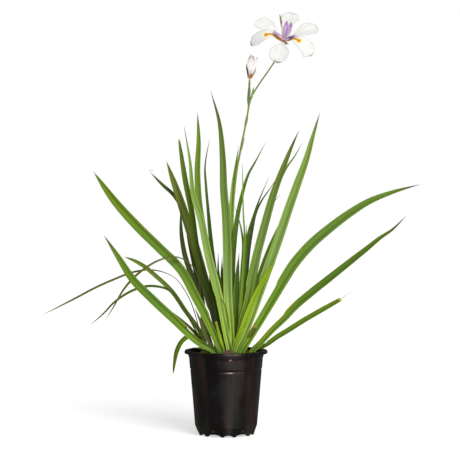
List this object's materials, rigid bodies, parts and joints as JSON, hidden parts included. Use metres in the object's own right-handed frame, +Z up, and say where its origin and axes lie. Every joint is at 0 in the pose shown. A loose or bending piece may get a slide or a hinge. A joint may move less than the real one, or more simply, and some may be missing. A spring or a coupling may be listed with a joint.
{
  "type": "potted african iris",
  "caption": "African iris in a black nursery pot: fans of sword leaves rise from the potting mix, with one open flower and a bud on a slender stem.",
  "frame": {"origin": "on the pot's axis, at the surface that the pot's feet stand on", "axes": "+Z up along the pot's axis, -Y towards the side that shows the open flower's face, +X to the right as seen from there"},
  "size_m": [0.6795, 0.2831, 0.7583],
  "materials": {
    "pot_plastic": "satin black moulded plastic, scuffed",
    "potting_mix": "loose bark and peat with pale chips",
    "leaf": "satin green blade with long veins",
    "stem": "satin green, brownish at its nodes",
    "tepal": "thin white petal with golden guides",
    "style": "thin violet petal",
    "bud_petal": "crumpled white petal",
    "bud_sheath": "dry golden brown sheath"
  },
  "bodies": {
    "root": {"pot": "pot_plastic", "potting_mix": "potting_mix", "fan_front_left": "leaf", "fan_back_left": "leaf", "fan_arching_left": "leaf", "fan_centre": "leaf", "fan_centre_right": "leaf", "fan_back_right": "leaf", "fan_front_right": "leaf", "fan_far_right": "leaf", "flower_stem": "stem", "flower_tepals": "tepal", "flower_styles": "style", "bud_petals": "bud_petal", "bud_sheath": "bud_sheath"}
  },
  "joints": []
}
